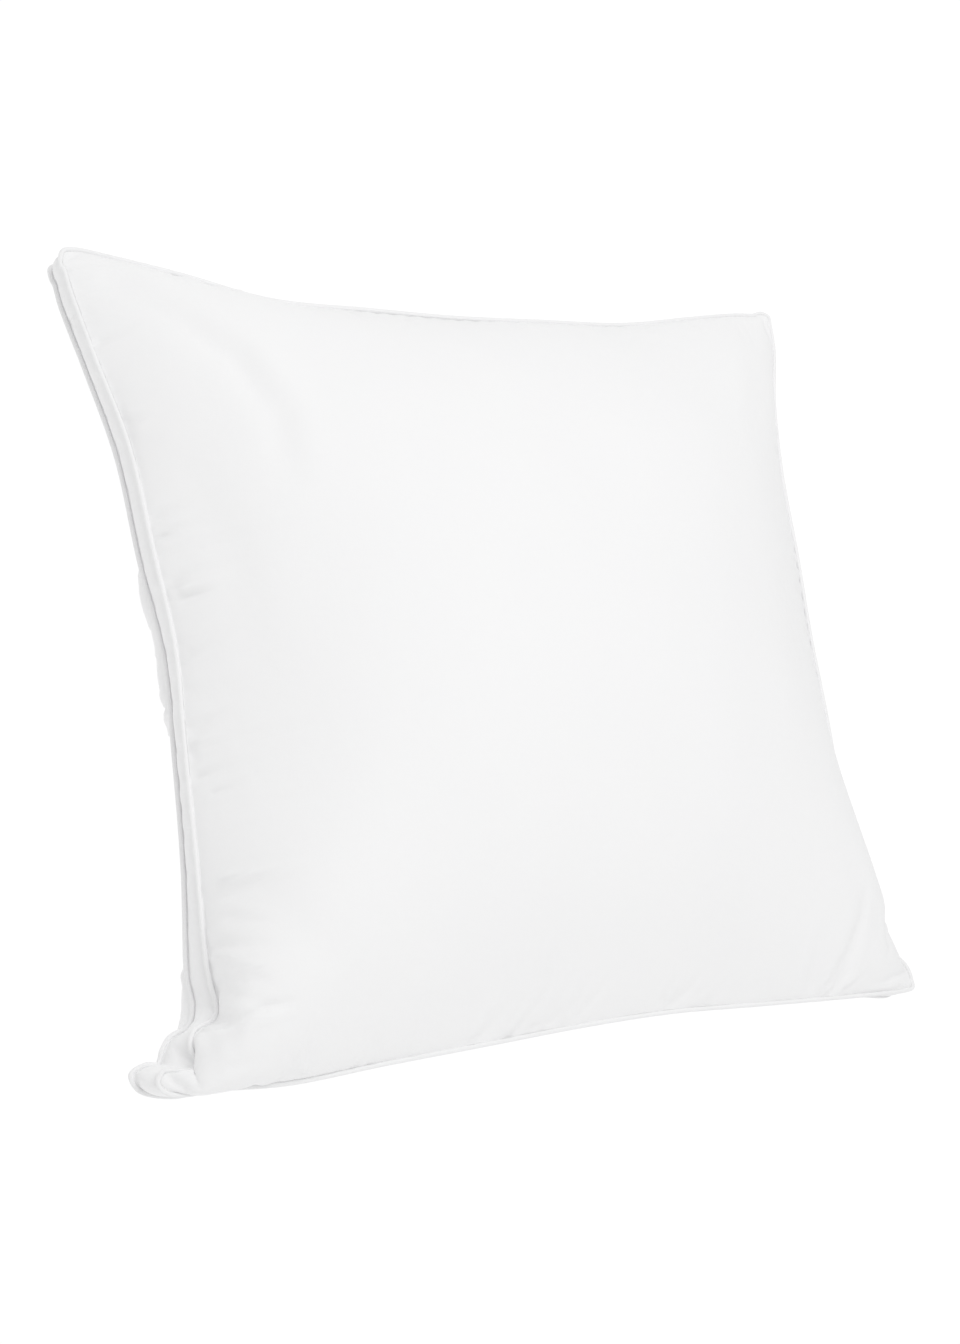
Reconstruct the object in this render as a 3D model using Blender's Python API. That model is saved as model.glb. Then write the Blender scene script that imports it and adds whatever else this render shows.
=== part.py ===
"""A square bed pillow with a narrow gusset and corded piping, lying on its back panel.

Units are metres and +Z is up.  The origin is under the middle of the pillow, on the
surface that it lies on.  +Y points to its top edge and +X to its right edge.

Every fabric piece is drawn as one sheet, which is the right side of the cloth, and a
Solidify modifier gives it its thickness on the wrong side.  All pieces share one seam
outline, and each seam is the same stack, from the panel to the gusset:
panel allowance, two legs of the piping cover, gusset allowance.
"""

import math

import bpy
import numpy as np

# Seam outline, seen from above.
WIDTH = 0.646               # between the sharp corners, along X
DEPTH = 0.597               # between the sharp corners, along Y
PULL_IN = {"bottom": 0.007, "right": 0.032, "top": 0.030, "left": 0.049}
CORNER_LEG = 0.016          # how far from a sharp corner its rounding starts

# Heights.
BACK_DEPTH = 0.070          # back seam above the surface that the pillow lies on
GUSSET_WIDTH = 0.026        # from the back piping to the front piping
PANEL_RISE = 0.102          # how far a free panel swells away from its seam
SWELL = 0.52                # lower is fuller towards the seams

# Cloth, piping and thread.
CLOTH = 0.0004
GAP = 0.0003                # left between pieces that touch
CORD_RADIUS = 0.0008
PIPING_RADIUS = CORD_RADIUS + GAP + CLOTH
THREAD_RADIUS = 0.0002
ALLOWANCE = 0.009           # seam allowance, turned to the inside
CLIPPED_ALLOWANCE = 0.0015  # what is left of it at a corner
CLIP_LENGTH = 0.06          # share of a side over which it is clipped
STITCH_INSET = 0.0042       # from the piping's centre to the line of stitches

# Turn of the cloth beside the piping, from the piping's centre.
FOLD_INSET = 0.0026
EDGE_INSET = 0.0022
EDGE_HEIGHT = 0.0026
TURN_HEIGHT = 0.0005        # from the panel's allowance up to where its turn ends
GUSSET_SWELL = 0.0045       # how far the gusset bows out between its seams
GUSSET_BENDS = 5

# Join of the gusset strip's two ends, on the left side just below the top corner.
JOIN_SIDE = "left"
JOIN_STATION = 3
JOIN_ALLOWANCE = 0.006

FILL_SCALE = 0.940          # the filling's outline against the seam outline
FILL_CLEARANCE = 0.001

STEPS = 14                  # stations along each side
TUBE_SIDES = 6

SIDES = ("bottom", "right", "top", "left")
START_CORNER = {"bottom": (-1, -1), "right": (1, -1), "top": (1, 1), "left": (-1, 1)}
INWARD = {"bottom": (0, 1), "right": (-1, 0), "top": (0, -1), "left": (1, 0)}

BACK_SEAM = BACK_DEPTH
FRONT_SEAM = BACK_DEPTH + GUSSET_WIDTH


# ---------------------------------------------------------------- outline

def stations():
    """Places along a side from 0 to 1, closer together towards the corners."""
    return [(1 - math.cos(math.pi * i / STEPS)) / 2 for i in range(STEPS + 1)]


def side_length(side):
    return WIDTH if side in ("bottom", "top") else DEPTH


def corner(side):
    return np.array(START_CORNER[side]) * (WIDTH / 2, DEPTH / 2)


def following(side):
    return SIDES[(SIDES.index(side) + 1) % 4]


def previous(side):
    return SIDES[(SIDES.index(side) - 1) % 4]


def bowed_side(side, t):
    """A point on a side that is pulled in between two sharp corners."""
    start = corner(side)
    end = corner(following(side))
    pull = PULL_IN[side] * math.sin(math.pi * t)
    return start + (end - start) * t + np.array(INWARD[side]) * pull


def rounded_corner(side, s):
    """The corner where a side starts: a curve from the side before, s = 0, to it, s = 1."""
    before = bowed_side(previous(side), 1 - CORNER_LEG / side_length(previous(side)))
    after = bowed_side(side, CORNER_LEG / side_length(side))
    return (1 - s) ** 2 * before + 2 * s * (1 - s) * corner(side) + s ** 2 * after


def seam_point(side, t):
    leg = CORNER_LEG / side_length(side)
    if t < leg:
        return rounded_corner(side, 0.5 + 0.5 * t / leg)
    if t > 1 - leg:
        return rounded_corner(following(side), 0.5 * (t - 1 + leg) / leg)
    return bowed_side(side, t)


def seam_outline():
    """The seam seen from above, anticlockwise, with its outward directions and its taper.

    The taper is 0 at a corner and 1 where the seam allowance has its full width.
    """
    points = np.array([seam_point(side, t) for side in SIDES for t in stations()[:-1]])
    forward = np.roll(points, -1, axis=0) - points
    forward /= np.linalg.norm(forward, axis=1)[:, None]
    along = forward + np.roll(forward, 1, axis=0)
    along /= np.linalg.norm(along, axis=1)[:, None]
    outward = np.column_stack((along[:, 1], -along[:, 0]))
    taper = np.array([min(1, t / CLIP_LENGTH, (1 - t) / CLIP_LENGTH)
                      for side in SIDES for t in stations()[:-1]])
    return points, outward, taper


OUTLINE, OUTWARD, TAPER = seam_outline()
ALLOWANCE_WIDTH = CLIPPED_ALLOWANCE + (ALLOWANCE - CLIPPED_ALLOWANCE) * TAPER


def seam_loop(out, height):
    """A closed row of points beside the seam: out from it, a number or one for each point."""
    shifted = OUTLINE + OUTWARD * np.broadcast_to(out, len(OUTLINE))[:, None]
    return np.column_stack((shifted, np.full(len(OUTLINE), height)))


def patch(loop):
    """A grid that fills a closed four-sided loop, with the same stations both ways."""
    n = STEPS
    t = np.array(stations())
    bottom, right = loop[:n + 1], loop[n:2 * n + 1]
    top, left = loop[2 * n:3 * n + 1][::-1], np.vstack((loop[3 * n:], loop[:1]))[::-1]
    u, v = t[:, None, None], t[None, :, None]
    across = (1 - v) * bottom[:, None] + v * top[:, None]
    along = (1 - u) * left[None, :] + u * right[None, :]
    corners = ((1 - u) * (1 - v) * bottom[0] + u * (1 - v) * bottom[-1]
               + (1 - u) * v * top[0] + u * v * top[-1])
    return across + along - corners


def swell():
    """How full a panel is at each point of its grid: 0 on the seam, 1 in the middle."""
    bow = np.sin(np.pi * np.arange(STEPS + 1) / STEPS) ** (2 * SWELL)
    return bow[:, None] * bow[None, :]


# ---------------------------------------------------------------- mesh helpers

def cloth_material(name, colour, roughness):
    material = bpy.data.materials.new(name)
    material.use_nodes = True
    shader = material.node_tree.nodes["Principled BSDF"]
    shader.inputs["Base Color"].default_value = (*colour, 1)
    shader.inputs["Roughness"].default_value = roughness
    shader.inputs["Metallic"].default_value = 0
    return material


def add_object(name, points, faces, material):
    mesh = bpy.data.meshes.new(name)
    mesh.from_pydata([tuple(p) for p in points], [], faces)
    mesh.update()
    mesh.shade_smooth()
    mesh.materials.append(material)
    piece = bpy.data.objects.new(name, mesh)
    bpy.context.scene.collection.objects.link(piece)
    return piece


def thicken(piece):
    """Cloth thickness, on the wrong side of the sheet."""
    solidify = piece.modifiers.new("cloth", "SOLIDIFY")
    solidify.thickness = CLOTH
    solidify.offset = -1
    solidify.use_even_offset = True
    solidify.use_quality_normals = True


def band_faces(rows, count, first=0, closed=True):
    """Quads between rows of points, each row lower or further round than the last."""
    faces = []
    for row in range(rows - 1):
        for k in range(count if closed else count - 1):
            upper, lower = first + row * count, first + (row + 1) * count
            after = (k + 1) % count
            faces.append((upper + k, lower + k, lower + after, upper + after))
    return faces


def grid_faces(index):
    n = STEPS
    return [(index(i, j), index(i + 1, j), index(i + 1, j + 1), index(i, j + 1))
            for i in range(n) for j in range(n)]


def perimeter_place(i, j):
    """Where a border point of the grid comes in the loop, or None inside it."""
    n = STEPS
    if j == 0 and i < n:
        return i
    if i == n and j < n:
        return n + j
    if j == n and i > 0:
        return 3 * n - i
    if i == 0:
        return 4 * n - j
    return None


def capped_loop(loop, grid):
    """A loop's points followed by its grid's inner points, and the grid's faces."""
    points = list(loop)
    inner = {}
    for i in range(1, STEPS):
        for j in range(1, STEPS):
            inner[i, j] = len(points)
            points.append(grid[i, j])
    return points, grid_faces(lambda i, j: inner.get((i, j), perimeter_place(i, j)))


def turned_over(faces):
    return [tuple(reversed(face)) for face in faces]


def ring_tube(name, out, height, radius, sides, material):
    """A solid ring that follows the seam: a cord or a line of thread."""
    turn = [math.tau * k / sides for k in range(sides)]
    rows = [seam_loop(out + radius * math.sin(a), height + radius * math.cos(a)) for a in turn]
    count = len(OUTLINE)
    faces = band_faces(sides, count)
    last = (sides - 1) * count
    faces += [(last + k, k, (k + 1) % count, last + (k + 1) % count) for k in range(count)]
    return add_object(name, np.vstack(rows), faces, material)


# ---------------------------------------------------------------- pieces

def panel(name, side_up, seam_height, material):
    """Front or back panel, with its allowance turned in.  side_up is 1 or -1."""
    stack = GAP / 2 + CLOTH + GAP
    edge = seam_loop(-EDGE_INSET, seam_height + side_up * EDGE_HEIGHT)
    rows = [
        edge,
        seam_loop(-EDGE_INSET, seam_height + side_up * (stack + TURN_HEIGHT)),
        seam_loop(-FOLD_INSET, seam_height + side_up * stack),
        seam_loop(-FOLD_INSET - ALLOWANCE_WIDTH, seam_height + side_up * stack),
    ]
    grid = patch(edge)
    grid[:, :, 2] += side_up * PANEL_RISE * swell()
    grid[:, :, 2] = np.maximum(grid[:, :, 2], 0)
    points, faces = capped_loop(edge, grid)
    count = len(OUTLINE)
    start = len(points) - count
    points += [p for row in rows[1:] for p in row]
    faces += [(k, start + count + k, start + count + (k + 1) % count, (k + 1) % count)
              for k in range(count)]
    faces += band_faces(3, count, first=start + count)
    if side_up < 0:
        faces = turned_over(faces)
    piece = add_object(name, points, faces, material)
    thicken(piece)
    return piece


def gusset_profile():
    """The strip's section from the front allowance to the back one: distance out, height."""
    stack = GAP / 2 + CLOTH + GAP
    top = [(-FOLD_INSET, FRONT_SEAM - stack), (-EDGE_INSET, FRONT_SEAM - EDGE_HEIGHT)]
    body = []
    for k in range(1, GUSSET_BENDS):
        share = k / GUSSET_BENDS
        height = FRONT_SEAM - EDGE_HEIGHT - share * (GUSSET_WIDTH - 2 * EDGE_HEIGHT)
        body.append((-EDGE_INSET + GUSSET_SWELL * math.sin(math.pi * share), height))
    middle = FRONT_SEAM + BACK_SEAM
    bottom = [(out, middle - height) for out, height in reversed(top)]
    return top, body, bottom


def gusset_strip(material):
    """One long strip round the pillow; its two ends meet in a sewn join."""
    top, body, bottom = gusset_profile()
    turned = -FOLD_INSET - ALLOWANCE_WIDTH
    rows = [seam_loop(turned, top[0][1])]
    rows += [seam_loop(out, height) for out, height in top + body + bottom]
    rows += [seam_loop(turned, bottom[-1][1])]
    join = SIDES.index(JOIN_SIDE) * STEPS + JOIN_STATION
    rows = [np.vstack((np.roll(row, -join, axis=0), row[join])) for row in rows]
    along = np.array((OUTWARD[join][1] * -1, OUTWARD[join][0], 0))
    for row in rows:
        row[0] += along * GAP / 2
        row[-1] -= along * GAP / 2
    count = len(rows[0])
    points = [p for row in rows for p in row]
    faces = band_faces(len(rows), count, closed=False)
    inward = np.array((*OUTWARD[join], 0)) * -JOIN_ALLOWANCE
    body_rows = range(2, len(rows) - 2)
    for end in (0, count - 1):
        flap = []
        for row in body_rows:
            flap.append(len(points))
            points.append(rows[row][end] + inward)
        for k, row in enumerate(list(body_rows)[:-1]):
            upper, lower = row * count + end, (row + 1) * count + end
            face = (flap[k], flap[k + 1], lower, upper)
            faces.append(face if end == 0 else tuple(reversed(face)))
    piece = add_object("gusset_strip", points, faces, material)
    thicken(piece)
    return piece


def piping_cover(name, seam_height, material):
    """A bias strip wrapped round the cord, with two legs caught in the seam."""
    leg = GAP / 2 + CLOTH
    start = math.asin(leg / PIPING_RADIUS)
    arc = [start + (math.pi * 2 - 2 * start) * k / TUBE_SIDES for k in range(TUBE_SIDES + 1)]
    rows = [seam_loop(-FOLD_INSET - ALLOWANCE_WIDTH, seam_height + leg)]
    for angle in arc:
        out = -PIPING_RADIUS * math.cos(angle)
        rows.append(seam_loop(out, seam_height + PIPING_RADIUS * math.sin(angle)))
    rows.append(seam_loop(-FOLD_INSET - ALLOWANCE_WIDTH, seam_height - leg))
    faces = band_faces(len(rows), len(OUTLINE))
    piece = add_object(name, np.vstack(rows), faces, material)
    thicken(piece)
    return piece


def seam_thread(name, seam_height, side_up, material):
    """The seam's line of stitches, lying against the gusset's allowance."""
    stack = GAP / 2 + 2 * CLOTH + 2 * GAP + THREAD_RADIUS
    return ring_tube(name, -STITCH_INSET, seam_height - side_up * stack, THREAD_RADIUS, 4, material)


def join_thread(material):
    """The line of stitches that closes the gusset strip's join."""
    join = SIDES.index(JOIN_SIDE) * STEPS + JOIN_STATION
    outward = np.array((*OUTWARD[join], 0))
    along = np.array((-outward[1], outward[0], 0))
    centre = np.array((*OUTLINE[join], 0)) - outward * STITCH_INSET
    centre = centre + along * (GAP * 1.5 + CLOTH + THREAD_RADIUS)
    low, high = BACK_SEAM + 2 * EDGE_HEIGHT, FRONT_SEAM - 2 * EDGE_HEIGHT
    offsets = [outward, along, -outward, -along]
    points = [centre + THREAD_RADIUS * side + (0, 0, height)
              for height in (high, low) for side in offsets]
    faces = [(k, k + 4, (k + 1) % 4 + 4, (k + 1) % 4) for k in range(4)]
    faces += [(0, 1, 2, 3), (7, 6, 5, 4)]
    return add_object("gusset_join_thread", points, faces, material)


def fill(material):
    """The filling as one soft block, just clear of the case and the allowances."""
    loops = []
    grids = []
    for side_up, seam_height in ((1, FRONT_SEAM), (-1, BACK_SEAM)):
        loop = seam_loop(0, seam_height)
        loop[:, :2] *= FILL_SCALE
        grid = patch(loop)
        grid[:, :, 2] += side_up * (PANEL_RISE - FILL_CLEARANCE) * swell()
        grid[:, :, 2] = np.maximum(grid[:, :, 2], CLOTH + FILL_CLEARANCE)
        loops.append(loop)
        grids.append(grid)
    points, faces = capped_loop(loops[0], grids[0])
    lower_points, lower_faces = capped_loop(loops[1], grids[1])
    first = len(points)
    points += lower_points
    faces += [tuple(first + k for k in face) for face in turned_over(lower_faces)]
    count = len(OUTLINE)
    faces += [(k, first + k, first + (k + 1) % count, (k + 1) % count) for k in range(count)]
    return add_object("fill", points, faces, material)


def clear_scene():
    for item in list(bpy.data.objects):
        bpy.data.objects.remove(item, do_unlink=True)


def build():
    clear_scene()
    white = cloth_material("white_cotton_percale", (0.90, 0.90, 0.90), 0.85)
    piped = cloth_material("white_piping", (0.88, 0.88, 0.88), 0.8)
    cord = cloth_material("cotton_cord", (0.85, 0.84, 0.81), 0.9)
    thread = cloth_material("white_thread", (0.88, 0.88, 0.87), 0.6)
    down = cloth_material("filling", (0.92, 0.91, 0.88), 0.95)
    panel("front_panel", 1, FRONT_SEAM, white)
    panel("back_panel", -1, BACK_SEAM, white)
    gusset_strip(white)
    for end, side_up, height in (("front", 1, FRONT_SEAM), ("back", -1, BACK_SEAM)):
        piping_cover(f"{end}_piping_cover", height, piped)
        ring_tube(f"{end}_piping_cord", 0, height, CORD_RADIUS, TUBE_SIDES, cord)
        seam_thread(f"{end}_seam_thread", height, side_up, thread)
    join_thread(thread)
    fill(down)


build()
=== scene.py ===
"""Looks of the square bed pillow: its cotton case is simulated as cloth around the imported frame.

Metres, +Z up.  The pillow lies on its back panel; +Y is the top edge of its front panel.
"""
import math

import bmesh
import bpy
import numpy as np
from mathutils import Matrix, Vector


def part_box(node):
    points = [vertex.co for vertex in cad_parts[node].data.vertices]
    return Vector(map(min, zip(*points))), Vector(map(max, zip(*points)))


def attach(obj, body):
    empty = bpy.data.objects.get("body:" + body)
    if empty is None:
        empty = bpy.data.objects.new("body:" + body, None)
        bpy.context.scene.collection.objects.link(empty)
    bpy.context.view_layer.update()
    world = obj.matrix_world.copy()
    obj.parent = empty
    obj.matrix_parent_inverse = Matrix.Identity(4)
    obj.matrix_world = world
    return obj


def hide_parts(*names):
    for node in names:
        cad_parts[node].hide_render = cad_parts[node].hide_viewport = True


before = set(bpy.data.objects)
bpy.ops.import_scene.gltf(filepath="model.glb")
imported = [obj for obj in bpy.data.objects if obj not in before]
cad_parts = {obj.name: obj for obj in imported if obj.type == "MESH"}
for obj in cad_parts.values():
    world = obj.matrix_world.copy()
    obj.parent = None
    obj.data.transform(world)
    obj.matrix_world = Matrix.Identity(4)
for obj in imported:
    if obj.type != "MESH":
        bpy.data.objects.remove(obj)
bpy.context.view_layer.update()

# ---------------------------------------------------------------- driving dimensions

# Outline of both seams seen from above, as in the frame's model, before their sides are pulled in.
WIDTH = 0.646
DEPTH = 0.597
CORNER_LEG = {"bottom": 0.011, "right": 0.008, "top": 0.011, "left": 0.015}    # of its start corner
SIDES = ("bottom", "right", "top", "left")
START_CORNER = {"bottom": (-1, -1), "right": (1, -1), "top": (1, 1), "left": (-1, 1)}
INWARD = {"bottom": (0, 1), "right": (-1, 0), "top": (0, -1), "left": (1, 0)}
PER_SPAN = 40               # points of a seam's curve from one knot to the next
EVENNESS = 0.55             # 1 spaces the points along a side evenly, less gathers them at the corners

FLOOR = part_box("back_panel")[0].z
FRONT_SEAM = sum(p.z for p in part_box("front_piping_cord")) / 2
BACK_SEAM = sum(p.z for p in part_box("back_piping_cord")) / 2

# Each seam is pulled in at these shares of a side, by the distances below.  At its lower left corner
# it is crumpled: there the left side leaves its bow, at fold_start, and runs through the points of
# fold to the corner's tip and the first point after it.
KNOTS = (0.03, 0.06, 0.14, 0.25, 0.38, 0.50, 0.62, 0.75, 0.86, 0.94)
SIDE_PULL = {
    "bottom": (0.000, 0.000, -0.002, 0.001, 0.005, 0.008, 0.009, 0.006, 0.003, 0.001),
    "right": (0.0050, 0.0200, 0.0375, 0.0365, 0.0315, 0.030, 0.0275, 0.024, 0.0155, 0.0055),
    "top": (0.0025, 0.005, 0.012, 0.022, 0.028, 0.030, 0.030, 0.0285, 0.016, 0.004),
    "left": (0.003, 0.006, 0.018, 0.035, 0.0430, 0.050, 0.0475, 0.046, 0.043, 0),
}
SEAMS = {
    "front": {
        "height": FRONT_SEAM, "up": 1, "seed": 3,
        "pull": SIDE_PULL,
        "fold_start": 0.88,
        "fold": [(-0.2790, -0.2310), (-0.2758, -0.2480), (-0.2800, -0.2530), (-0.2945, -0.2600),
                 (-0.2982, -0.2700), (-0.2955, -0.2790), (-0.2995, -0.2840), (-0.3190, -0.2830)],
        "tip": (-0.3240, -0.2880),
        "after": (-0.3170, -0.2960),
    },
    "back": {
        "height": BACK_SEAM, "up": -1, "seed": 4,
        "pull": {
            **SIDE_PULL,
            "bottom": (0.001, 0.002, 0.004, 0.009, 0.013, 0.015, 0.015, 0.012, 0.007, 0.003),
            "left": (0.0035, 0.007, 0.020, 0.035, 0.0440, 0.0520, 0.0490, 0.046, 0.039, 0),
        },
        "fold_start": 0.87,
        "fold": [(-0.2850, -0.2240), (-0.2825, -0.2400), (-0.2870, -0.2530), (-0.3010, -0.2590),
                 (-0.3085, -0.2670), (-0.3120, -0.2740), (-0.3200, -0.2750)],
        "tip": (-0.3305, -0.2800),
        "after": (-0.3270, -0.2895),
    },
}
SEAM_WOBBLE = 0.0006

# Piping, and the cloth beside it as seen from the piping's centre line.
PIPING_RADIUS = 0.0017
PIPING_POINTS = 300         # along a side
PIPING_SIDES = 12
CORD_RADIUS = 0.0011
CORD_SIDES = 8
EDGE_INSET = 0.0023
EDGE_HEIGHT = 0.0010
TUCK_INSET = 0.0009
TUCK_HEIGHT = 0.0003
THREAD_RADIUS = 0.00022
THREAD_SIDES = 5
THREAD_HEIGHT = 0.7         # above the seam, as a share of EDGE_HEIGHT
STITCH = 0.0026
STITCH_POINTS = 800         # along a side
CLOTH = 0.0004

# Panel cloth: how much longer each side is cut than its seam, how unevenly it is gathered, and how
# wide and deep the panel is cut in its middle.
CELLS = 110
CUT_EASE = {"bottom": 1.010, "right": 1.000, "top": 1.008, "left": 1.016}
GATHERS = {"bottom": 0.0004, "right": 0.0003, "top": 0.0004, "left": 0.0009}
GATHER_WAVES = range(5, 17)
GATHER_REACH = 0.05
CUT_WAIST_WIDTH = 0.603
CUT_WAIST_DEPTH = 0.588
QUICK_RISE = {"front": 0.080, "back": 0.056}    # of the middle, in the shape the panel is drawn to while it is sewn

# From a side's first share to its last: how far a panel may hang out past its seam, and how much less
# for each metre that the cloth is above or below the seam.
OVERHANG = {
    "front": [("bottom", 0, 1, 0.030, 0), ("right", 0, 1, 0.030, 0), ("top", 0, 1, 0.030, 0),
              ("left", 0, 0.84, 0.030, 0), ("left", 0.84, 1, 0.002, 0), ("bottom", 0, 0.05, 0.003, 0)],
    "back": [("bottom", 0, 1, 0.0025, 0.3), ("right", 0, 1, 0.006, 0.2), ("top", 0, 1, 0.003, 0.2),
             ("left", 0, 0.39, 0.002, 0.6), ("left", 0.39, 0.49, 0.010, 0.28),
             ("left", 0.49, 0.53, 0.006, 0.45), ("left", 0.53, 0.62, 0.010, 0.28),
             ("left", 0.62, 0.86, 0.002, 0.62), ("left", 0.86, 0.91, 0.008, 0.30),
             ("left", 0.91, 1, 0.003, 0.6)],
}
OVERHANG_BLEND = 6          # points of the seam on each side over which two limits meet

# Where a panel hangs out further over its seam: middle of the place, which way, how wide and how far.
BELLIES = {
    "front": [((-0.200, -0.280), (0, -1), 0.065, 0.006)],
    "back": [((-0.278, 0.048), (-1, 0), 0.026, 0.0065), ((-0.278, -0.016), (-1, 0), 0.036, 0.0075)],
}
BELLY_HEIGHT = 0.014        # below or above the seam, where it hangs out the most
BELLY_DEPTH = 0.05          # how far in from the seam
BELLY_SAG = 0.3

# Cloth simulation.
FRAMES = 40
SEWING_SHARE = 0.6          # of the frames, in which the seam is drawn to its place
PANEL_CLOTH = {"pressure": 400, "stiffness": 20, "bending": 0.3}
GUSSET_CLOTH = {"pressure": 600, "stiffness": 40, "bending": 0.02}
GUSSET_FRAMES = 30
CONTACT = 0.0006            # how far the cloth's middle rests above the floor

# Gusset cloth.
GUSSET_CELLS = 160
GUSSET_ROWS = 8
GUSSET_CUT = 0.0245         # width between its two edges
GUSSET_EASE = 1.018         # how much longer it is cut than its seams
QUICK_BOW = 0.003           # outward, in the shape the gusset is drawn to while it is sewn
JOIN_SHARE = 0.075          # where along the left side its two ends are sewn together
JOIN_WIDTH = 0.0016
JOIN_DEPTH = 0.0018
JOIN_THREAD_SIDES = 6

# The camera: where it stands above the front seam, what it looks at and how it is rolled.
CAMERA_FROM_SEAM = (-0.757, -0.3549, 1.1728)
CAMERA_AIM = (0.5100, 0.2343, -0.8277)
CAMERA_UP = (0.0211, 0.9585, 0.2843)
LENS = 50.9

# ---------------------------------------------------------------- seam curves


def side_length(side):
    return WIDTH if side in ("bottom", "top") else DEPTH


def corner(side):
    return np.array(START_CORNER[side]) * (WIDTH / 2, DEPTH / 2)


def following(side):
    return SIDES[(SIDES.index(side) + 1) % 4]


def previous(side):
    return SIDES[(SIDES.index(side) - 1) % 4]


def bowed_side(seam, side, t):
    """A point on a side that is pulled in between two sharp corners."""
    start = corner(side)
    end = corner(following(side))
    pull = np.interp(t, (0, *KNOTS, 1), (0, *seam["pull"][side], 0))
    return start + (end - start) * t + np.array(INWARD[side]) * pull


def corner_middle(seam, side):
    """The middle of the rounding of the corner where a side starts."""
    before = bowed_side(seam, previous(side), 1 - CORNER_LEG[side] / side_length(previous(side)))
    after = bowed_side(seam, side, CORNER_LEG[side] / side_length(side))
    return 0.25 * before + 0.5 * corner(side) + 0.25 * after


def smooth_path(points):
    """A Catmull-Rom curve (centripetal) through a closed list of points."""
    count = len(points)
    path = []
    for i in range(count):
        p0, p1, p2, p3 = (np.array(points[(i + k - 1) % count], float) for k in range(4))
        t1 = np.linalg.norm(p1 - p0) ** 0.5
        t2 = t1 + np.linalg.norm(p2 - p1) ** 0.5
        t3 = t2 + np.linalg.norm(p3 - p2) ** 0.5
        for t in np.linspace(t1, t2, PER_SPAN, endpoint=False):
            a1 = (t1 - t) / t1 * p0 + t / t1 * p1
            a2 = (t2 - t) / (t2 - t1) * p1 + (t - t1) / (t2 - t1) * p2
            a3 = (t3 - t) / (t3 - t2) * p2 + (t - t2) / (t3 - t2) * p3
            b1 = (t2 - t) / t2 * a1 + t / t2 * a2
            b2 = (t3 - t) / (t3 - t1) * a2 + (t - t1) / (t3 - t1) * a3
            path.append((t2 - t) / (t2 - t1) * b1 + (t - t1) / (t2 - t1) * b2)
    return np.array(path)


def seam_sides(seam, shares):
    """The seam's four sides, each a row of points placed along it by their shares of its length."""
    rng = np.random.default_rng(seam["seed"])
    knots = [seam["tip"], seam["after"]]
    starts = {"bottom": 0}
    for side in SIDES:
        first = CORNER_LEG[side] / side_length(side)
        if side != "bottom":
            starts[side] = len(knots)
            knots.append(corner_middle(seam, side))
            knots.append(bowed_side(seam, side, first))
        last = seam["fold_start"] if side == "left" else 1
        knots += [bowed_side(seam, side, t) for t in KNOTS if first < t < last]
        if side != "left":
            knots.append(bowed_side(seam, side, 1 - CORNER_LEG[following(side)] / side_length(side)))
    knots += seam["fold"]
    knots = np.column_stack((knots, np.full(len(knots), seam["height"])))
    knots += rng.normal(0, SEAM_WOBBLE, knots.shape)
    path = smooth_path(knots)
    path = np.vstack((path, path[:1]))
    bounds = [starts[side] * PER_SPAN for side in SIDES] + [len(path) - 1]
    sides = []
    for first, last in zip(bounds[:-1], bounds[1:]):
        stretch = path[first:last + 1]
        run = np.concatenate(([0], np.cumsum(np.linalg.norm(np.diff(stretch, axis=0), axis=1))))
        sides.append(np.column_stack([np.interp(shares * run[-1], run, stretch[:, k]) for k in range(3)]))
    return sides


def stations(count):
    """Shares of a side from 0 to 1, closer together near the corners."""
    x = np.linspace(0, 1, count + 1)
    return EVENNESS * x + (1 - EVENNESS) * (1 - np.cos(np.pi * x)) / 2


def seam_row(name, count):
    """A seam as one closed row of points, without the repeated corners."""
    return np.vstack([side[:-1] for side in seam_sides(SEAMS[name], stations(count))])


def outward_of(row):
    """The level direction that points out of the pillow at each point of a seam."""
    ahead = np.roll(row[:, :2], -1, axis=0) - row[:, :2]
    ahead /= np.linalg.norm(ahead, axis=1)[:, None]
    along = ahead + np.roll(ahead, 1, axis=0)
    along /= np.linalg.norm(along, axis=1)[:, None]
    return np.column_stack((along[:, 1], -along[:, 0], np.zeros(len(row))))


def shifted(row, out, rise):
    return row + outward_of(row) * out + (0, 0, rise)


def patch(loop, n):
    """A grid that fills a closed four-sided loop."""
    t = stations(n)
    bottom, right = loop[:n + 1], loop[n:2 * n + 1]
    top, left = loop[2 * n:3 * n + 1][::-1], np.vstack((loop[3 * n:], loop[:1]))[::-1]
    u, v = t[:, None, None], t[None, :, None]
    across = (1 - v) * bottom[:, None] + v * top[:, None]
    along = (1 - u) * left[None, :] + u * right[None, :]
    corners = ((1 - u) * (1 - v) * bottom[0] + u * (1 - v) * bottom[-1]
               + (1 - u) * v * top[0] + u * v * top[-1])
    return across + along - corners


def uneven(t, rng):
    """Smooth noise along a side that is zero at both corners."""
    return sum(rng.normal() * np.sin(np.pi * waves * t) for waves in GATHER_WAVES) / 2


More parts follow.
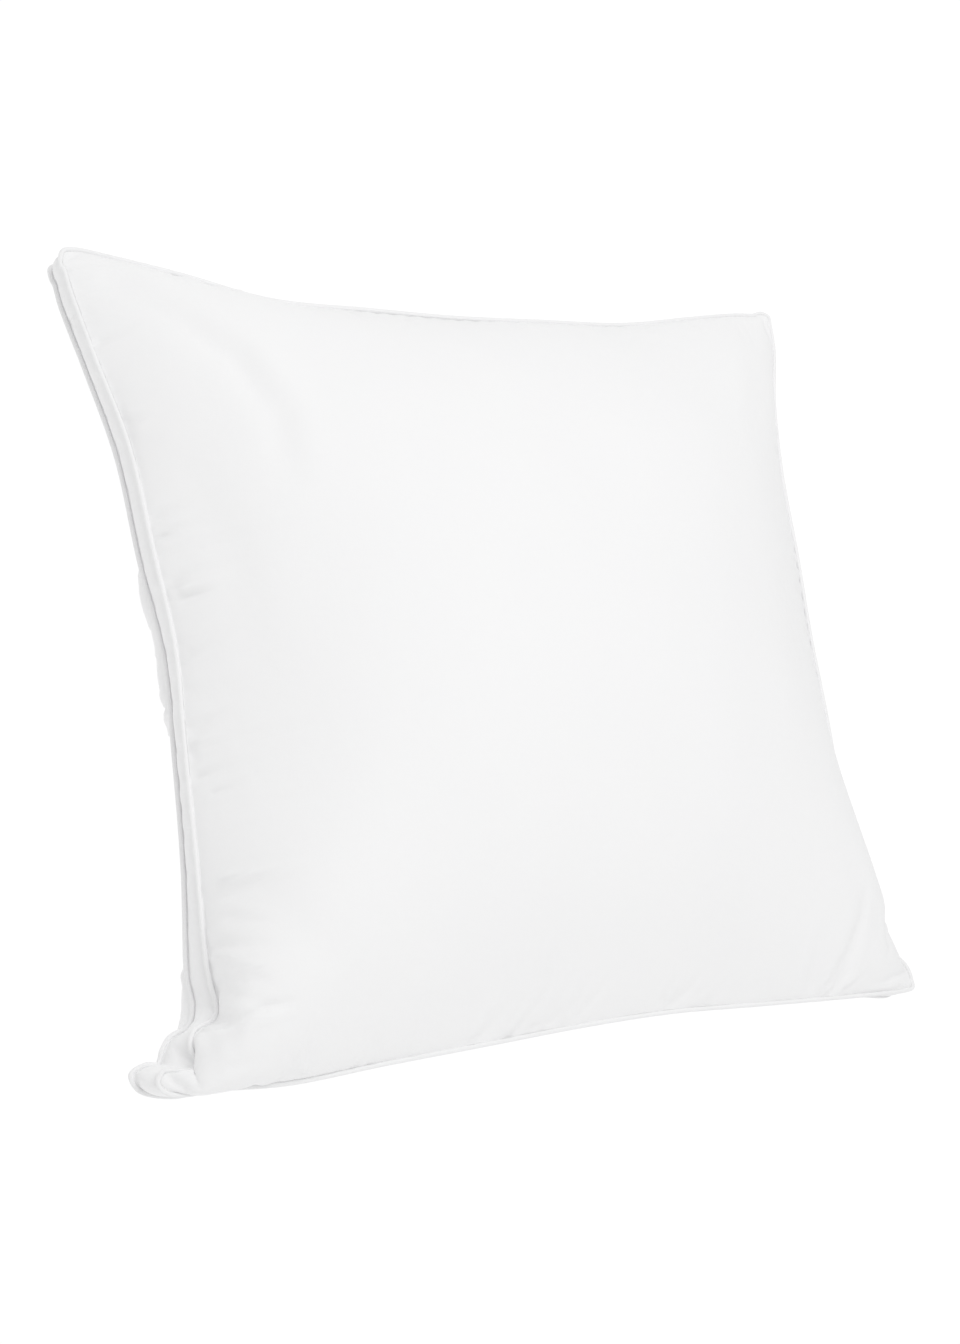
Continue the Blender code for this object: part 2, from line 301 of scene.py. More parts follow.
def cut_pattern(row, n, seed):
    """The panel as it was cut, flat: each side is its seam's length with ease, unevenly gathered."""
    t = stations(n)
    step = np.linalg.norm(np.roll(row, -1, axis=0) - row, axis=1)
    length = {side: step[k * n:(k + 1) * n].sum() * CUT_EASE[side] for k, side in enumerate(SIDES)}
    width = length["bottom"] * (1 - t) + length["top"] * t
    depth = length["left"] * (1 - t) + length["right"] * t
    bow = np.sin(np.pi * t)
    width -= (width[n // 2] - CUT_WAIST_WIDTH) * bow
    depth -= (depth[n // 2] - CUT_WAIST_DEPTH) * bow
    rng = np.random.default_rng(seed)
    gather = {side: uneven(t, rng) * GATHERS[side] for side in SIDES}
    near = np.exp(-t * WIDTH / GATHER_REACH)
    far = near[::-1]
    x = (t[:, None] - 0.5) * width[None, :]
    y = (t[None, :] - 0.5) * depth[:, None]
    x = x + gather["bottom"][:, None] * near[None, :] + gather["top"][:, None] * far[None, :]
    y = y + gather["left"][None, :] * near[:, None] + gather["right"][None, :] * far[:, None]
    return np.dstack((x, y, np.full_like(x, row[:, 2].mean())))


# ---------------------------------------------------------------- meshes


def mesh_object(name, points, faces, uv=None):
    """A mesh object; uv holds metres of flat cloth, one pair for each corner of each face."""
    mesh = bpy.data.meshes.new(name)
    mesh.from_pydata([tuple(p) for p in points], [], faces)
    if uv is not None:
        layer = mesh.uv_layers.new(name="cut")
        layer.data.foreach_set("uv", np.asarray(uv, np.float32).ravel())
    mesh.update()
    piece = bpy.data.objects.new(name, mesh)
    bpy.context.scene.collection.objects.link(piece)
    return piece


def grid_faces(rows, columns):
    return [(i * columns + j, (i + 1) * columns + j, (i + 1) * columns + j + 1, i * columns + j + 1)
            for i in range(rows - 1) for j in range(columns - 1)]


def band_faces(rows, count):
    """Faces between closed rows of points, with their row and column for each corner."""
    faces = []
    places = []
    for k in range(rows - 1):
        for i in range(count):
            after = (i + 1) % count
            here, below = k * count, (k + 1) * count
            faces.append((here + i, below + i, below + after, here + after))
            places.append(((k, i), (k + 1, i), (k + 1, i + 1), (k, i + 1)))
    return faces, np.array(places)


def coordinates(mesh, what="co"):
    co = np.zeros(len(mesh.vertices) * 3, np.float32)
    mesh.vertices.foreach_get(what, co)
    return co.reshape(-1, 3).astype(float)


def set_coordinates(mesh, points):
    mesh.vertices.foreach_set("co", np.asarray(points, np.float32).ravel())
    mesh.update()


def border_of(n):
    """Indices of a square grid's border points, as one closed row that starts with the bottom."""
    index = np.arange((n + 1) ** 2).reshape(n + 1, n + 1)
    return np.concatenate((index[:-1, 0], index[-1, :-1], index[:0:-1, -1], index[0, :0:-1]))


def run_along(row):
    """Distance along a closed row of points, with its whole length at the end."""
    step = np.linalg.norm(np.roll(row, -1, axis=0) - row, axis=1)
    return np.concatenate(([0], np.cumsum(step)))


def ring_tube(name, row, radius, sides):
    """A solid ring that follows a seam; its cloth runs along the ring and around it."""
    outward = outward_of(row)
    rings = []
    for k in range(sides):
        angle = math.tau * k / sides
        rings.append(row + outward * radius * math.sin(angle) + np.array((0, 0, radius * math.cos(angle))))
    faces, places = band_faces(sides + 1, len(row))
    faces = [tuple(corner % (sides * len(row)) for corner in face) for face in faces]
    along = run_along(row)[places[:, :, 1]]
    around = places[:, :, 0] * math.tau * radius / sides
    return mesh_object(name, np.vstack(rings), faces, np.dstack((along, around)))


def open_tube(name, path, radius, sides):
    """A short tube along a path, closed at both ends."""
    points = []
    for k, place in enumerate(path):
        ahead = path[min(k + 1, len(path) - 1)] - path[max(k - 1, 0)]
        turn = Vector(ahead).to_track_quat("Z", "Y").to_matrix()
        for j in range(sides):
            angle = math.tau * j / sides
            rim = turn @ Vector((math.cos(angle), math.sin(angle), 0))
            points.append(np.array(place) + radius * np.array(rim))
    faces = [tuple(reversed(range(sides))), tuple(range(len(points) - sides, len(points)))]
    for k in range(len(path) - 1):
        here, above = k * sides, (k + 1) * sides
        for j in range(sides):
            after = (j + 1) % sides
            faces.append((here + j, here + after, above + after, above + j))
    return mesh_object(name, points, faces)


def subdivided(piece):
    """Replaces a mesh by its smooth subdivision."""
    modifier = piece.modifiers.new("smooth", "SUBSURF")
    modifier.levels = 1
    graph = bpy.context.evaluated_depsgraph_get()
    smooth = piece.evaluated_get(graph)
    mesh = bpy.data.meshes.new_from_object(smooth, preserve_all_data_layers=True, depsgraph=graph)
    piece.modifiers.remove(modifier)
    piece.data = mesh


def finish_piece(piece, material, replaced, thick=False):
    """Finish, thickness and place in the frame of a piece that stands for CAD nodes."""
    piece.data.materials.clear()
    piece.data.materials.append(material)
    piece.data.shade_smooth()
    if thick:
        thickness = piece.modifiers.new("thickness", "SOLIDIFY")
        thickness.thickness = CLOTH
        thickness.offset = -1
    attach(piece, "root")
    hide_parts(*replaced)


# ---------------------------------------------------------------- cloth


def simulate(piece, sewn, pinned, frames, pressure, stiffness, bending, collide=False):
    """Cloth simulation from the shape it was cut to, while its seam is drawn to where it is sewn."""
    piece.shape_key_add(name="Basis", from_mix=False)
    key = piece.shape_key_add(name="sewn", from_mix=False)
    key.data.foreach_set("co", np.asarray(sewn, np.float32).ravel())
    for number, value in ((1, 0), (1 + frames * SEWING_SHARE, 1)):
        key.value = value
        key.keyframe_insert("value", frame=number)
    held = piece.vertex_groups.new(name="held")
    held.add([int(k) for k in pinned], 1.0, "REPLACE")
    cloth = piece.modifiers.new("cloth", "CLOTH")
    settings = cloth.settings
    settings.quality = 8
    settings.tension_stiffness = stiffness
    settings.compression_stiffness = stiffness
    settings.shear_stiffness = stiffness * 0.3
    settings.bending_stiffness = bending
    settings.tension_damping = 5
    settings.compression_damping = 5
    settings.shear_damping = 5
    settings.air_damping = 2
    settings.use_pressure = True
    settings.uniform_pressure_force = pressure
    settings.vertex_group_mass = "held"
    settings.effector_weights.gravity = 0
    cloth.collision_settings.use_collision = collide
    cloth.collision_settings.distance_min = 0.001
    cloth.point_cache.frame_start = 1
    cloth.point_cache.frame_end = frames
    scene = bpy.context.scene
    for number in range(1, frames + 1):
        scene.frame_set(number)
    graph = bpy.context.evaluated_depsgraph_get()
    result = coordinates(piece.evaluated_get(graph).data)
    piece.modifiers.remove(cloth)
    piece.data.shape_keys.animation_data_clear()
    piece.shape_key_clear()
    piece.vertex_groups.clear()
    set_coordinates(piece.data, result)
    scene.frame_set(1)


def overhang_rows(name):
    """How far the panel may pass its seam, and how much less by height, at each of the seam's points."""
    t = stations(CELLS)[:-1]
    limits = np.zeros((4 * CELLS, 2))
    for side, first, last, most, slope in OVERHANG[name]:
        start = SIDES.index(side) * CELLS
        here = (t >= first) & (t < last)
        limits[start:start + CELLS][here] = (most, slope)
    window = np.hanning(2 * OVERHANG_BLEND + 1)
    window /= window.sum()
    wrapped = np.vstack((limits[-OVERHANG_BLEND:], limits, limits[:OVERHANG_BLEND]))
    return [np.convolve(wrapped[:, k], window, "valid") for k in (0, 1)]


def limit_overhang(points, row, most, slope):
    """Eases back cloth that swells out too far past its seam."""
    outward = outward_of(row)
    apart = np.linalg.norm(points[:, None, :2] - row[None, :, :2], axis=2)
    nearest = apart.argmin(axis=1)
    past = ((points - row[nearest]) * outward[nearest]).sum(axis=1)
    past += slope[nearest] * np.abs(points[:, 2] - row[nearest][:, 2])
    past = np.maximum(past, 0)
    eased = most[nearest] * (1 - np.exp(-past / most[nearest]))
    return points - outward[nearest] * (past - eased)[:, None]


def hang_bellies(points, name):
    """Lets a panel hang out over its seam in places."""
    seam = SEAMS[name]
    height = np.clip((points[:, 2] - seam["height"]) * seam["up"], 0, None) / BELLY_HEIGHT
    moved = points.copy()
    for middle, outward, reach, most in BELLIES[name]:
        off = points[:, :2] - middle
        out = off @ outward
        along = off @ (-outward[1], outward[0])
        amount = most * height * np.exp(1 - height) * np.exp(-(along / reach) ** 2) * (out > -BELLY_DEPTH)
        moved += amount[:, None] * (*outward, -BELLY_SAG * (seam["up"] > 0))
    return moved


def make_panel(name):
    """Front or back panel: held along its seam, swollen by the filling, its edge tucked in."""
    seam = SEAMS[name]
    up = seam["up"]
    n = CELLS
    row = seam_row(name, n)
    grid = patch(shifted(row, -EDGE_INSET, up * EDGE_HEIGHT), n)
    bow = np.sin(np.pi * stations(n)) ** 0.8
    grid[:, :, 2] += up * QUICK_RISE[name] * bow[:, None] * bow[None, :]
    cut = cut_pattern(row, n, seam["seed"])
    faces = grid_faces(n + 1, n + 1)
    if up < 0:
        faces = [face[::-1] for face in faces]
    sewn = grid.reshape(-1, 3)
    flat = cut.reshape(-1, 3)
    uv = flat[np.array(faces).ravel(), :2]
    piece = mesh_object(name + "_panel_cloth", flat, faces, uv)
    simulate(piece, sewn, border_of(n), FRAMES, collide=up < 0, **PANEL_CLOTH)
    points = limit_overhang(coordinates(piece.data), row, *overhang_rows(name))
    set_coordinates(piece.data, hang_bellies(points, name))
    return piece


def tuck_edge(piece, name):
    """Carries a panel's edge down beside the piping and into the seam."""
    up = SEAMS[name]["up"]
    inner = shifted(seam_row(name, CELLS), -TUCK_INSET, up * TUCK_HEIGHT)
    work = bmesh.new()
    work.from_mesh(piece.data)
    work.verts.ensure_lookup_table()
    layer = work.loops.layers.uv.active
    edge = [work.verts[int(k)] for k in border_of(CELLS)]
    cut = [vertex.link_loops[0][layer].uv.copy() for vertex in edge]
    tucked = [work.verts.new(p) for p in inner]
    count = len(edge)
    for k in range(count):
        after = (k + 1) % count
        corners = [(edge[k], cut[k]), (tucked[k], cut[k]),
                   (tucked[after], cut[after]), (edge[after], cut[after])]
        if up < 0:
            corners.reverse()
        face = work.faces.new([vertex for vertex, place in corners])
        for loop, (vertex, place) in zip(face.loops, corners):
            loop[layer].uv = place
    work.to_mesh(piece.data)
    work.free()


def make_gusset():
    """The strip between the two seams: one closed band, held along both, blown outwards."""
    front = seam_row("front", GUSSET_CELLS)
    back = seam_row("back", GUSSET_CELLS)
    count = len(front)
    top = shifted(front, -EDGE_INSET, -EDGE_HEIGHT)
    bottom = shifted(back, -EDGE_INSET, EDGE_HEIGHT)
    outward = outward_of((front + back) / 2)
    rows = [shifted(front, -TUCK_INSET, -TUCK_HEIGHT)]
    for k in range(GUSSET_ROWS + 1):
        share = k / GUSSET_ROWS
        rows.append(top * (1 - share) + bottom * share + outward * QUICK_BOW * math.sin(math.pi * share))
    rows.append(shifted(back, -TUCK_INSET, TUCK_HEIGHT))
    sewn = np.vstack(rows)
    faces, places = band_faces(len(rows), count)
    along = run_along(front)[places[:, :, 1]]
    across = places[:, :, 0] * GUSSET_CUT / GUSSET_ROWS
    uv = np.dstack((along, across))
    chord = FRONT_SEAM - BACK_SEAM - 2 * EDGE_HEIGHT
    middle = (FRONT_SEAM + BACK_SEAM) / 2
    eased = (sewn - (0, 0, middle)) * (GUSSET_EASE, GUSSET_EASE, GUSSET_CUT / chord) + (0, 0, middle)
    held = [k for k in range(len(sewn)) if k // count < 2 or k // count >= len(rows) - 2]
    piece = mesh_object("gusset_strip_cloth", eased, faces, uv)
    simulate(piece, sewn, held, GUSSET_FRAMES, **GUSSET_CLOTH)
    return piece


def press_join(piece):
    """Draws the gusset in along the line where its two ends are sewn; returns that line."""
    count = 4 * GUSSET_CELLS
    points = coordinates(piece.data).reshape(-1, count, 3)
    at = 3 * GUSSET_CELLS + int(np.searchsorted(stations(GUSSET_CELLS), JOIN_SHARE))
    outward = outward_of(points[1])[at]
    off = points[1] - points[1][at]
    distance = np.linalg.norm(off, axis=1)
    depth = JOIN_DEPTH * np.exp(-(distance / JOIN_WIDTH) ** 2)
    bow = np.sin(np.linspace(0, np.pi, len(points)))
    points -= bow[:, None, None] * depth[None, :, None] * outward
    set_coordinates(piece.data, points.reshape(-1, 3))
    return points[1:-1, at] + outward * 2 * THREAD_RADIUS


# ---------------------------------------------------------------- wrinkles

# Folds laid into the front panel, listed as seen from above: their points, half width, depth.
FOLDS = [
    ([(-0.200, 0.090), (-0.203, 0.150), (-0.222, 0.197), (-0.250, 0.228), (-0.298, 0.274)],
     0.012, 0.0040),
    ([(-0.262, 0.130), (-0.240, 0.060), (-0.232, -0.040)], 0.013, 0.0014),
    ([(-0.255, -0.150), (-0.240, -0.205), (-0.205, -0.235)], 0.015, 0.0016),
    ([(-0.286, -0.260), (-0.272, -0.2565), (-0.257, -0.2535), (-0.240, -0.2535)], 0.0035, 0.0030),
    ([(-0.300, -0.290), (-0.285, -0.286), (-0.262, -0.284)], 0.0035, 0.0008),
    ([(0.300, 0.262), (0.262, 0.205), (0.235, 0.150)], 0.014, 0.0012),
    ([(0.300, -0.262), (0.262, -0.232), (0.235, -0.180)], 0.012, 0.0014),
]

# Short puckers along a seam: side, first and last share of it, how many, length, lean in degrees.
PUCKERS = [
    ("left", 0.08, 0.40, 8, 0.018, 15),
    ("left", 0.40, 0.66, 14, 0.026, 10),
    ("left", 0.68, 0.90, 11, 0.034, -15),
    ("top", 0.55, 0.90, 9, 0.016, 10),
    ("top", 0.10, 0.50, 6, 0.012, 0),
    ("right", 0.10, 0.90, 12, 0.015, 0),
    ("bottom", 0.08, 0.30, 5, 0.016, 0),
    ("bottom", 0.34, 0.90, 15, 0.030, -38),
]
RIDGE = 0.6                 # height of the ridge beside a fold, as a share of the fold's depth
RIDGE_PLACE = 1.7           # how many half widths it is from the fold's middle
PUCKER_WIDTH = 0.0030
PUCKER_DEPTH = 0.0013
LUMPS = 0.0009              # height of the filling's soft unevenness
LUMP_WAVES = 14             # level waves whose sum is that unevenness
WRINKLE_SEED = 20
CALM_BY_SEAM = 0.006        # wrinkles fade out this near the seam
CALM_BY_FLOOR = 0.012       # and this low above the floor


def fold_shift(points, path, width, depth, fade=0.0):
    """How far a fold moves each point out: a valley with a lower ridge beside it."""
    shift = np.zeros(len(points))
    closest = np.full(len(points), np.inf)
    total = len(path) - 1
    for k in range(total):
        start = np.array(path[k])
        ahead = np.array(path[k + 1]) - start
        length = np.linalg.norm(ahead)
        ahead = ahead / length
        off = points[:, :2] - start
        run = np.clip(off @ ahead, 0, length)
        beside = off - run[:, None] * ahead
        distance = np.linalg.norm(beside, axis=1)
        side = np.sign(off[:, 0] * ahead[1] - off[:, 1] * ahead[0])
        q = side * distance / width
        share = (k + run / length) / total
        ends = np.sin(np.pi * np.clip(share, 0, 1)) ** 0.7 if fade == 0 else 1 - fade * share
        move = depth * ends * (RIDGE * np.exp(-(q - RIDGE_PLACE) ** 2) - np.exp(-q ** 2))
        nearer = distance < closest
        shift = np.where(nearer, move, shift)
        closest = np.minimum(closest, distance)
    return shift


def pucker_shift(points, row, rng):
    """Short folds that run in from the seam, where the cloth is gathered."""
    inward = -outward_of(row)
    t = stations(CELLS)
    shift = np.zeros(len(points))
    for side, first, last, number, length, lean in PUCKERS:
        for share in np.sort(rng.uniform(first, last, number)):
            at = SIDES.index(side) * CELLS + int(np.searchsorted(t, share))
            angle = math.radians(lean + rng.normal(0, 14))
            into = inward[at][:2]
            turned = (into[0] * math.cos(angle) - into[1] * math.sin(angle),
                      into[0] * math.sin(angle) + into[1] * math.cos(angle))
            start = row[at][:2] + into * rng.uniform(0.002, 0.012)
            end = start + np.array(turned) * length * rng.uniform(0.5, 1.25)
            width = PUCKER_WIDTH * rng.uniform(0.8, 1.5)
            depth = PUCKER_DEPTH * rng.uniform(0.5, 1.4) * rng.choice((-1, 1))
            shift += fold_shift(points, (start, end), width, depth, fade=0.9)
    return shift


def lump_shift(points, rng):
    """The filling's soft unevenness."""
    shift = np.zeros(len(points))
    for _ in range(LUMP_WAVES):
        angle = rng.uniform(0, math.pi)
        wave = rng.uniform(0.07, 0.22)
        across = points[:, 0] * math.cos(angle) + points[:, 1] * math.sin(angle)
        shift += np.cos(math.tau * across / wave + rng.uniform(0, math.tau))
    return shift * LUMPS / math.sqrt(LUMP_WAVES)


def wrinkle(piece, name):
    """Lays the folds, puckers and lumps into a panel, and leaves its edge where it is."""
    points = coordinates(piece.data)
    row = seam_row(name, CELLS)
    rng = np.random.default_rng(WRINKLE_SEED + SEAMS[name]["seed"])
    shift = lump_shift(points, rng) + pucker_shift(points, row, rng)
    if name == "front":
        for path, width, depth in FOLDS:
            shift += fold_shift(points, path, width, depth)
    apart = np.linalg.norm(points[:, None, :2] - row[None, ::2, :2], axis=2).min(axis=1)
    rise = np.abs(points[:, 2] - SEAMS[name]["height"])
    shift *= 1 - np.exp(-((apart + rise) / CALM_BY_SEAM) ** 2)
    shift *= np.clip((points[:, 2] - FLOOR - CONTACT) / CALM_BY_FLOOR, 0, 1)
    normals = coordinates(piece.data, "normal")
    set_coordinates(piece.data, points + normals * shift[:, None])


# ---------------------------------------------------------------- inner pieces

FILL_CELLS = 36
FILL_SKIP = 3               # of the panel's cells, between the seam and the filling's rim
FILL_GAP = 0.008            # below the front panel and above the back panel
FILL_INSET = 0.008          # inside both seams; points that are nearer step towards the middle
FILL_STEP = 0.01
FILL_STEPS = 24


def inside_by(points, row):
    """How far points are inside a seam, seen from above."""
    apart = np.linalg.norm(points[:, None, :2] - row[None, :, :2], axis=2)
    nearest = apart.argmin(axis=1)
    side = ((row[nearest] - points) * outward_of(row)[nearest]).sum(axis=1)
    return np.where(side > 0, apart.min(axis=1), -apart.min(axis=1))


def make_fill(front, back):
    """The filling: a closed body a little inside both panels and both seams."""
    picked = np.unique(np.linspace(FILL_SKIP, CELLS - FILL_SKIP, FILL_CELLS + 1).astype(int))
    halves = []
    for grid, up in ((front, 1), (back, -1)):
        square = grid.reshape(CELLS + 1, CELLS + 1, 3)[picked][:, picked].reshape(-1, 3)
        halves.append(square - (0, 0, up * FILL_GAP))
    rows = [seam_row(name, CELLS) for name in SEAMS]
    points = np.vstack(halves)
    for _ in range(FILL_STEPS):
        outside = np.min([inside_by(points, row) for row in rows], axis=0) < FILL_INSET
        points[outside, :2] *= 1 - FILL_STEP
    size = len(picked)
    below = size * size
    upper = grid_faces(size, size)
    lower = [tuple(corner + below for corner in face[::-1]) for face in upper]
    ring = border_of(size - 1)
    wall = []
    for k, here in enumerate(ring):
        after = ring[(k + 1) % len(ring)]
        wall.append((int(here), int(here) + below, int(after) + below, int(after)))
    return mesh_object("filling", points, upper + lower + wall)


def stitch_row(name):
    """The seam's thread: it runs in the groove beside the piping and dips under at each stitch."""
    row = seam_row(name, STITCH_POINTS)
    up = SEAMS[name]["up"]
    along = run_along(row)[:-1]
    stitches = round(run_along(row)[-1] / STITCH)
    wave = np.cos(along / run_along(row)[-1] * stitches * math.tau)
    line = shifted(row, -PIPING_RADIUS - THREAD_RADIUS, 0)
    line[:, 2] += up * (EDGE_HEIGHT * THREAD_HEIGHT + THREAD_RADIUS * wave)
    return ring_tube(name + "_seam_stitches", line, THREAD_RADIUS, THREAD_SIDES)


# ---------------------------------------------------------------- materials


class Finish:
    """A node material on a Principled shader, with short calls for its nodes."""

    def __init__(self, name, roughness, **sockets):
        self.material = bpy.data.materials.new(name)
        self.material.use_nodes = True
        self.tree = self.material.node_tree
        self.shader = self.tree.nodes["Principled BSDF"]
        self.shader.inputs["Roughness"].default_value = roughness
        for socket, value in sockets.items():
            self.shader.inputs[socket.replace("_", " ")].default_value = value
        self.normal = None

    def link(self, source, target):
        if isinstance(source, (int, float)):
            target.default_value = source
        else:
            self.tree.links.new(source, target)

    def math(self, operation, *values):
        node = self.tree.nodes.new("ShaderNodeMath")
        node.operation = operation
        for value, socket in zip(values, node.inputs):
            self.link(value, socket)
        return node.outputs[0]

    def place(self, source, scale, turn=0):
        """Coordinates: metres of cloth from the cut map, or of space, times a scale."""
        if source == "cloth":
            start = self.tree.nodes.new("ShaderNodeUVMap")
            start.uv_map = "cut"
            output = start.outputs["UV"]
        else:
            start = self.tree.nodes.new("ShaderNodeTexCoord")
            output = start.outputs["Object"]
        mapping = self.tree.nodes.new("ShaderNodeMapping")
        mapping.inputs["Rotation"].default_value = (0, 0, turn)
        mapping.inputs["Scale"].default_value = scale
        self.tree.links.new(output, mapping.inputs["Vector"])
        return mapping.outputs["Vector"]

    def noise(self, place, scale, detail=2):
        node = self.tree.nodes.new("ShaderNodeTexNoise")
        node.inputs["Scale"].default_value = scale
        node.inputs["Detail"].default_value = detail
        self.tree.links.new(place, node.inputs["Vector"])
        return node.outputs["Fac"]

    def weave(self, place):
        """Plain weave: a bump wherever one thread passes over the other, one thread per unit."""
        split = self.tree.nodes.new("ShaderNodeSeparateXYZ")
        self.tree.links.new(place, split.inputs[0])
        waves = [self.math("SINE", self.math("MULTIPLY", split.outputs[k], math.pi)) for k in (0, 1)]
        return self.math("MULTIPLY_ADD", self.math("MULTIPLY", *waves), 0.5, 0.5)

    def bump(self, height, distance, strength=1.0):
        """Adds relief; distance is its height in metres."""
        node = self.tree.nodes.new("ShaderNodeBump")
        node.inputs["Distance"].default_value = distance
        node.inputs["Strength"].default_value = strength
        self.tree.links.new(height, node.inputs["Height"])
        if self.normal is not None:
            self.tree.links.new(self.normal, node.inputs["Normal"])
        self.normal = node.outputs["Normal"]
        self.tree.links.new(self.normal, self.shader.inputs["Normal"])

    def colour(self, share, low, high):
        """Colour that goes from low to high with a share from 0 to 1."""
        node = self.tree.nodes.new("ShaderNodeMix")
        node.data_type = "RGBA"
        self.link(share, node.inputs["Factor"])
        node.inputs["A"].default_value = (*low, 1)
        node.inputs["B"].default_value = (*high, 1)
        self.tree.links.new(node.outputs["Result"], self.shader.inputs["Base Color"])

    def roughness(self, share, low, high):
        self.link(self.math("MULTIPLY_ADD", share, high - low, low), self.shader.inputs["Roughness"])


def make_percale(name, low, high):
    """White cotton percale: a fine plain weave with uneven yarns, a soft sheen and faint crumple."""
    finish = Finish(name, 0.8, Sheen_Weight=0.12, Sheen_Roughness=0.4, Specular_IOR_Level=0.3)
    warp = finish.noise(finish.place("cloth", (2600, 55, 1)), 1)
    weft = finish.noise(finish.place("cloth", (45, 2300, 1)), 1)
    yarns = finish.math("MULTIPLY_ADD", finish.math("ADD", warp, weft), 0.5, 0)
    crumple = finish.noise(finish.place("space", (1, 1, 1)), 55, 4)
    cloud = finish.noise(finish.place("space", (1, 1, 1)), 9, 3)
    finish.bump(crumple, 0.0011, 0.5)
    finish.bump(yarns, 0.00016, 0.6)
    finish.bump(finish.weave(finish.place("cloth", (2800, 2800, 1))), 0.00006, 0.5)
    shade = finish.math("MULTIPLY_ADD", finish.math("ADD", cloud, yarns), 0.5, 0)
    finish.colour(shade, low, high)
    finish.roughness(yarns, 0.7, 0.92)
    return finish.material


def make_piping_cloth():
    """The same cotton cut on the bias and drawn over a twisted cord that shows through faintly."""
    finish = Finish("bias_piping", 0.8, Sheen_Weight=0.12, Sheen_Roughness=0.4, Specular_IOR_Level=0.3)
    turned = finish.place("cloth", (2000, 2000, 1), math.radians(45))
    ribs = finish.place("cloth", (math.tau / 0.0045, math.tau / 0.0060, 1))
    split = finish.tree.nodes.new("ShaderNodeSeparateXYZ")
    finish.tree.links.new(ribs, split.inputs[0])
    twist = finish.math("SINE", finish.math("ADD", split.outputs[0], split.outputs[1]))
    puckers = finish.noise(finish.place("cloth", (260, 120, 1)), 1, 3)
    finish.bump(puckers, 0.0006, 0.6)
    finish.bump(finish.math("MULTIPLY_ADD", twist, 0.5, 0.5), 0.00012, 0.5)
    finish.bump(finish.weave(turned), 0.00006, 0.5)
    finish.colour(puckers, (0.86, 0.86, 0.865), (0.90, 0.90, 0.90))
    finish.roughness(puckers, 0.72, 0.9)
    return finish.material


def make_thread():
    """Spun white sewing thread with its fine twist."""
    finish = Finish("sewing_thread", 0.55, Sheen_Weight=0.1)
    fibres = finish.noise(finish.place("cloth", (1500, 6000, 1)), 1)
    finish.bump(fibres, 0.00005, 0.6)
    finish.colour(fibres, (0.84, 0.84, 0.84), (0.92, 0.92, 0.92))
    finish.roughness(fibres, 0.45, 0.65)
    return finish.material


def make_cord_cotton():
    """Loosely twisted undyed cotton cord inside the piping."""
    finish = Finish("twisted_cord", 0.9)
    strands = finish.noise(finish.place("cloth", (300, 900, 1), math.radians(30)), 1, 3)
    finish.bump(strands, 0.0003, 0.8)
    finish.colour(strands, (0.74, 0.72, 0.68), (0.84, 0.82, 0.78))
    finish.roughness(strands, 0.85, 0.98)
    return finish.material


def make_fibre():
    """The filling: a soft white mass of fine fibres."""
    finish = Finish("fibre_fill", 0.95, Sheen_Weight=0.3)
    clumps = finish.noise(finish.place("space", (1, 1, 1)), 90, 6)
    finish.bump(clumps, 0.004, 0.7)
    finish.colour(clumps, (0.82, 0.82, 0.81), (0.93, 0.93, 0.92))
    finish.roughness(clumps, 0.88, 1.0)
    return finish.material


# ---------------------------------------------------------------- stage

FLOOR_SIZE = 30
FLOOR_GAP = 0.0002          # kept free under the finished pillow
FLOOR_GLOW = 0.92
WORLD_LIGHT = 0.69

# Soft lamps: name, place, what they point at, diameter and power.
LAMPS = [
    ("key", (0.0, 0.55, 2.2), (0, 0, 0.1), 1.6, 16.6),
    ("front_fill", (-0.3, -2.1, 0.7), (0, -0.2, 0.1), 1.8, 5),
]


def make_floor():
    corners = [(x * FLOOR_SIZE, y * FLOOR_SIZE, 0) for x, y in ((-1, -1), (1, -1), (1, 1), (-1, 1))]
    floor = mesh_object("floor", corners, [(0, 1, 2, 3)])
    floor.location.z = FLOOR + CONTACT
    floor.modifiers.new("contact", "COLLISION")
    floor.collision.thickness_outer = 0.001
    paint = Finish("floor_paint", 0.9)
    paint.colour(paint.noise(paint.place("space", (1, 1, 1)), 2), (0.09, 0.09, 0.09), (0.11, 0.11, 0.11))
    paint.shader.inputs["Emission Color"].default_value = (1, 1, 1, 1)
    paint.shader.inputs["Emission Strength"].default_value = FLOOR_GLOW
    floor.data.materials.append(paint.material)
    return floor


def area_light(name, place, target, size, power):
    data = bpy.data.lights.new(name, "AREA")
    data.shape = "DISK"
    data.size = size
    data.energy = power
    light = bpy.data.objects.new(name, data)
    light.location = place
    light.rotation_euler = (Vector(target) - Vector(place)).to_track_quat("-Z", "Y").to_euler()
    bpy.context.scene.collection.objects.link(light)


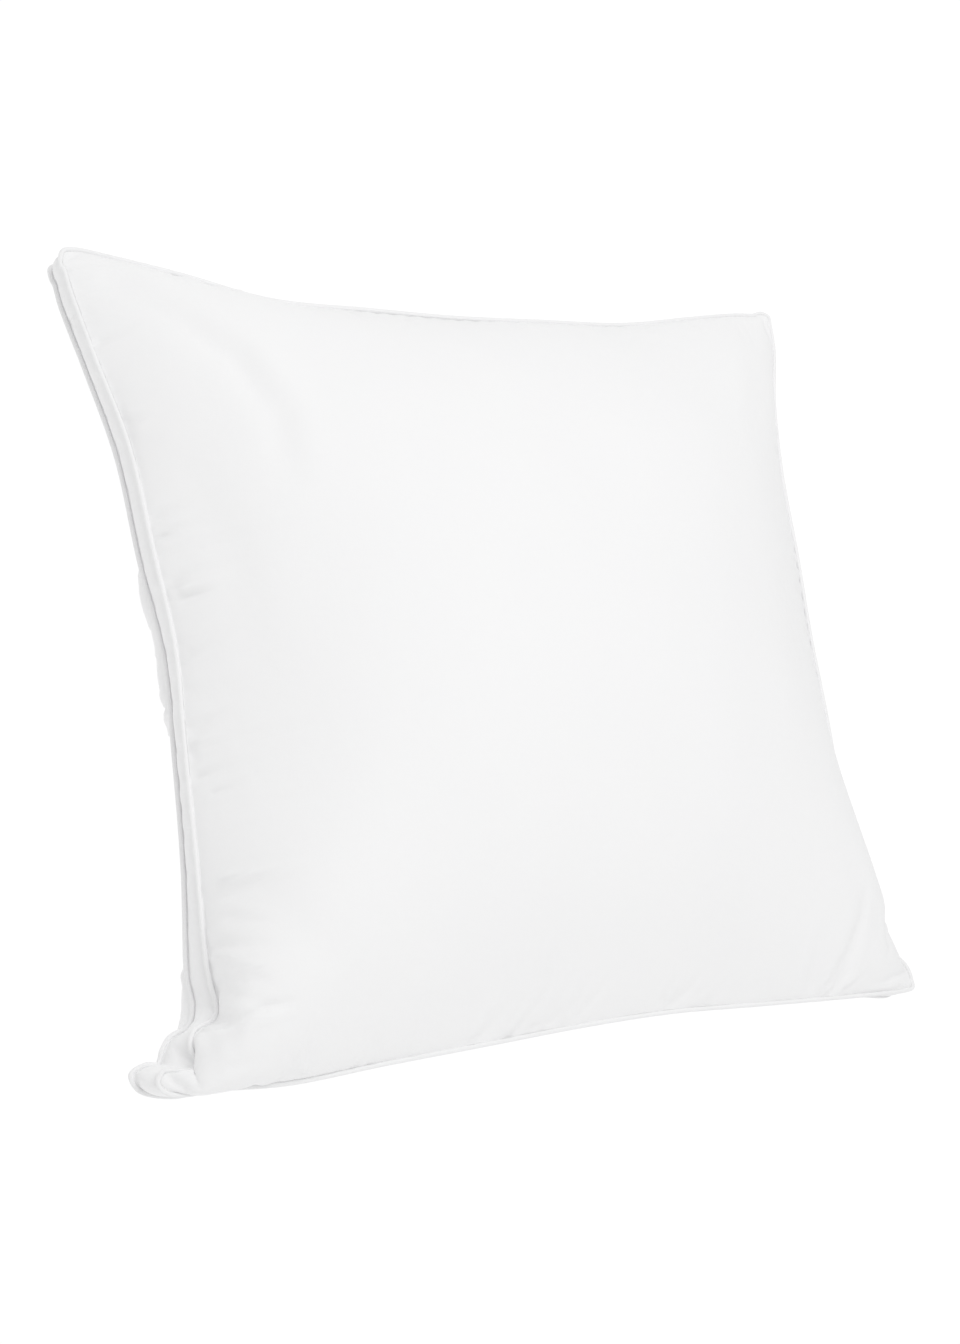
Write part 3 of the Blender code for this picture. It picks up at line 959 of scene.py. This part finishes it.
def make_camera():
    data = bpy.data.cameras.new("camera")
    data.lens = LENS
    data.sensor_width = 36
    camera = bpy.data.objects.new("camera", data)
    aim = Vector(CAMERA_AIM).normalized()
    right = aim.cross(Vector(CAMERA_UP)).normalized()
    turn = Matrix((right, right.cross(aim), -aim)).transposed()
    place = Vector(CAMERA_FROM_SEAM) + Vector((0, 0, FRONT_SEAM))
    camera.matrix_world = Matrix.Translation(place) @ turn.to_4x4()
    bpy.context.scene.collection.objects.link(camera)
    bpy.context.scene.camera = camera


def make_world():
    world = bpy.data.worlds.new("studio")
    world.use_nodes = True
    background = world.node_tree.nodes["Background"]
    background.inputs["Color"].default_value = (1, 1, 1, 1)
    background.inputs["Strength"].default_value = WORLD_LIGHT
    bpy.context.scene.world = world


# ---------------------------------------------------------------- build


def make_piping(name, bias, cord, thread):
    row = seam_row(name, PIPING_POINTS)
    piping = ring_tube(name + "_piping", row, PIPING_RADIUS, PIPING_SIDES)
    finish_piece(piping, bias, [name + "_piping_cover"])
    core = ring_tube(name + "_cord", row, CORD_RADIUS, CORD_SIDES)
    finish_piece(core, cord, [name + "_piping_cord"])
    finish_piece(stitch_row(name), thread, [name + "_seam_thread"])


def main():
    scene = bpy.context.scene
    scene.view_settings.view_transform = "Standard"
    # White cloth between white walls: light crosses its folds many times.
    scene.cycles.diffuse_bounces = 10
    make_camera()
    make_world()
    floor = make_floor()
    for lamp in LAMPS:
        area_light(*lamp)

    percale = make_percale("percale", (0.885, 0.885, 0.89), (0.925, 0.925, 0.925))
    bias = make_piping_cloth()
    thread = make_thread()
    cord = make_cord_cotton()

    swollen = {}
    for name in SEAMS:
        panel = make_panel(name)
        swollen[name] = coordinates(panel.data)
        tuck_edge(panel, name)
        subdivided(panel)
        wrinkle(panel, name)
        finish_piece(panel, percale, [name + "_panel"], thick=True)
        make_piping(name, bias, cord, thread)

    gusset = make_gusset()
    join = press_join(gusset)
    subdivided(gusset)
    finish_piece(gusset, percale, ["gusset_strip"], thick=True)
    finish_piece(open_tube("gusset_join_stitches", join, THREAD_RADIUS, JOIN_THREAD_SIDES),
                 thread, ["gusset_join_thread"])

    filling = make_fill(swollen["front"], swollen["back"])
    finish_piece(filling, make_fibre(), ["fill"])

    floor.modifiers.clear()
    floor.location.z = FLOOR - FLOOR_GAP


main()
